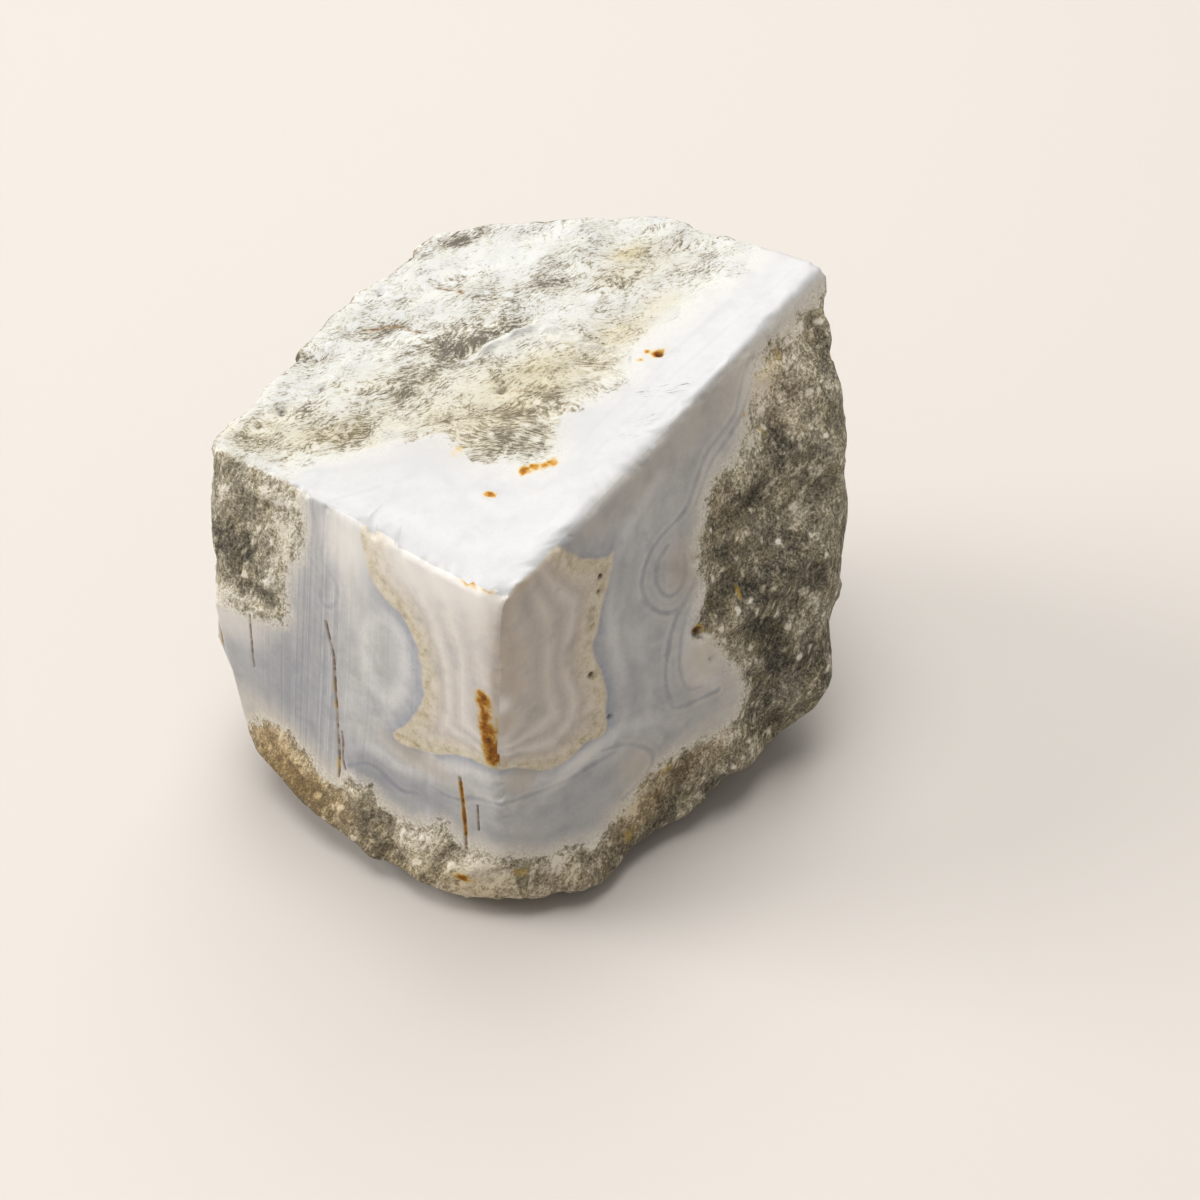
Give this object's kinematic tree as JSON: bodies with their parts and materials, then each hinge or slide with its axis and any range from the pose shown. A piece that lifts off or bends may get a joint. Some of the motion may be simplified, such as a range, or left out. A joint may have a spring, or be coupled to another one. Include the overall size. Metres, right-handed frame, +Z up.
{
  "type": "rough blue lace agate block",
  "caption": "Rough block of banded agate with its host rock grown on, sawn on three sides and broken elsewhere, resting on a small flat spot.",
  "frame": {"origin": "middle of the bounding box, at the height of the resting spot", "axes": "+Z up from the resting spot; -Y towards the sawn front edge; +X towards the sawn right face's far corner"},
  "size_m": [0.069, 0.0644, 0.053],
  "materials": {
    "agate_and_host_rock": "sawn agate, matt to waxy, with rough host rock"
  },
  "bodies": {
    "root": {"agate_block": "agate_and_host_rock"}
  },
  "joints": []
}
